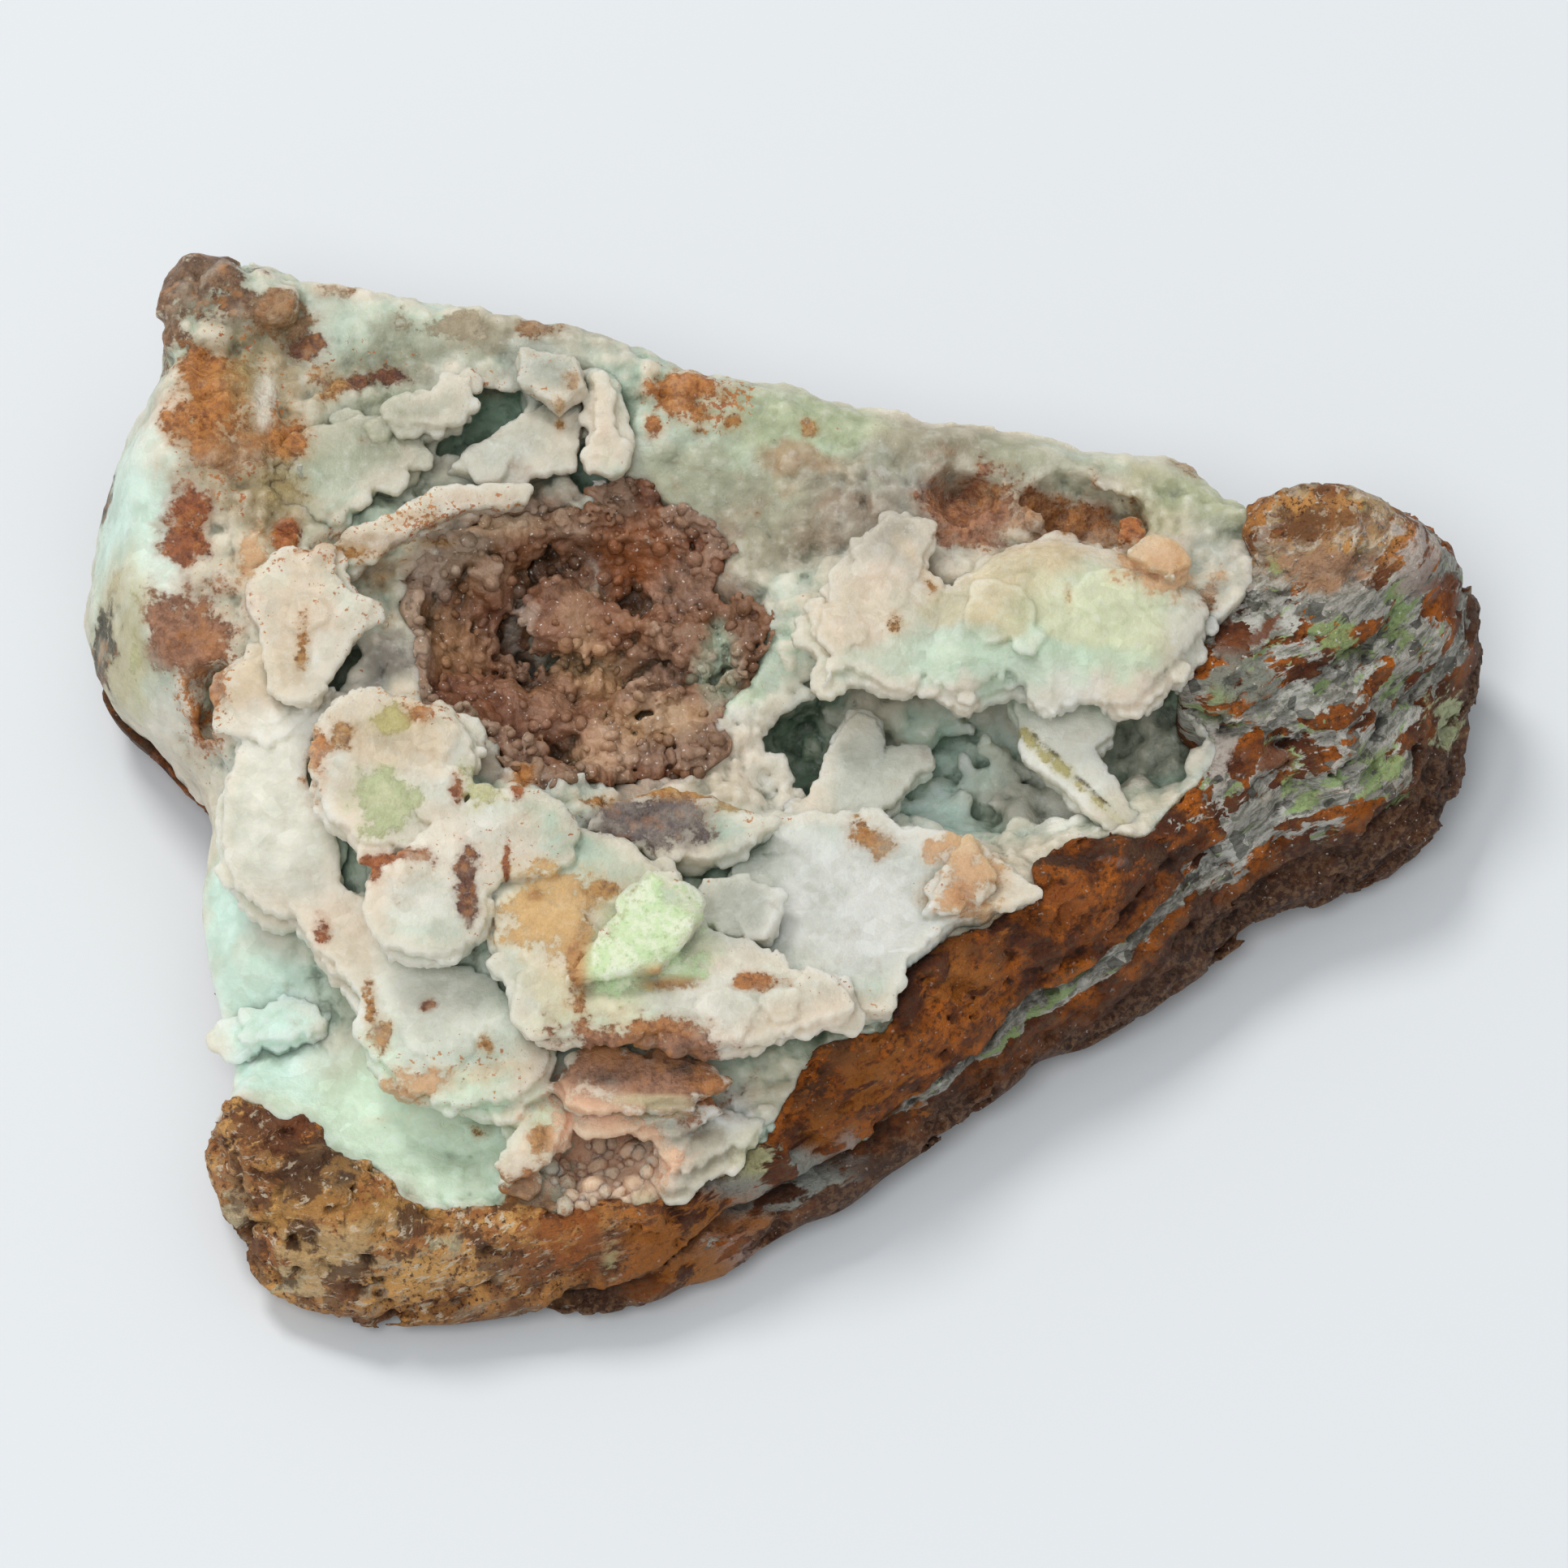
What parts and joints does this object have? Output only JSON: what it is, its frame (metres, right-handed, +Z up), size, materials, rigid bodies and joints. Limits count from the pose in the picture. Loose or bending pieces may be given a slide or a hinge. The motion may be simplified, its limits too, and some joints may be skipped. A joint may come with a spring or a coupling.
{
  "type": "smithsonite specimen",
  "caption": "Loose mineral hand specimen: pale green waxy smithsonite crust with plates, ledges and open hollows on banded brown limonite rock, resting on a flat base.",
  "frame": {"origin": "a point on the flat face that the specimen rests on, below the middle of the stone", "axes": "+X to the pointed right end, +Y to the high back rim, +Z up"},
  "size_m": [0.1006, 0.0779, 0.0228],
  "materials": {
    "limonite_rock": "rough banded brown limonite with grey-green schist layers, amber where fresh",
    "smithsonite": "waxy, slightly translucent pale green to pinkish white, with rust stains",
    "brown_druse": "grainy, waxy brown lining of grown-together round grains"
  },
  "bodies": {
    "root": {"limonite_matrix": "limonite_rock", "smithsonite_crust": "smithsonite", "hollow_druse": "brown_druse"}
  },
  "joints": []
}
